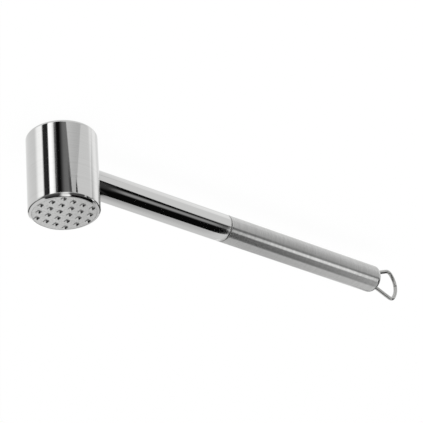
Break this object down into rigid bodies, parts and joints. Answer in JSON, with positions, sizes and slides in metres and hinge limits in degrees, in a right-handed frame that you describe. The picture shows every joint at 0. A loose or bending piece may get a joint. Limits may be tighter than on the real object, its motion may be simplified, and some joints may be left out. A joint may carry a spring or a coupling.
{
  "type": "meat mallet",
  "caption": "Round-headed steel meat mallet with a smooth face, a toothed face, a straight tube handle and a wire hanging loop.",
  "frame": {"origin": "middle of the smooth striking face, on the head's axis", "axes": "+X along the handle to the hanging loop, +Z along the head's axis to the toothed face"},
  "size_m": [0.3007, 0.044, 0.0545],
  "materials": {
    "polished_steel": "mirror-polished stainless steel",
    "satin_steel": "satin blasted stainless steel",
    "brushed_steel": "stainless steel brushed round the tube",
    "bush_steel": "fine-turned stainless steel",
    "wire_steel": "bright drawn stainless wire",
    "turned_steel": "plain turned steel, inside",
    "fastener_steel": "plain steel fasteners, inside"
  },
  "bodies": {
    "root": {"head_shell": "polished_steel", "head_core": "turned_steel", "tooth_plate": "satin_steel", "neck_tube": "polished_steel", "neck_plug": "turned_steel", "tie_rod": "fastener_steel", "coupling_bush": "bush_steel", "lock_washer": "fastener_steel", "tie_nut": "fastener_steel", "grip_tube": "brushed_steel", "loop_anchor": "turned_steel", "hanging_loop": "wire_steel"}
  },
  "joints": []
}
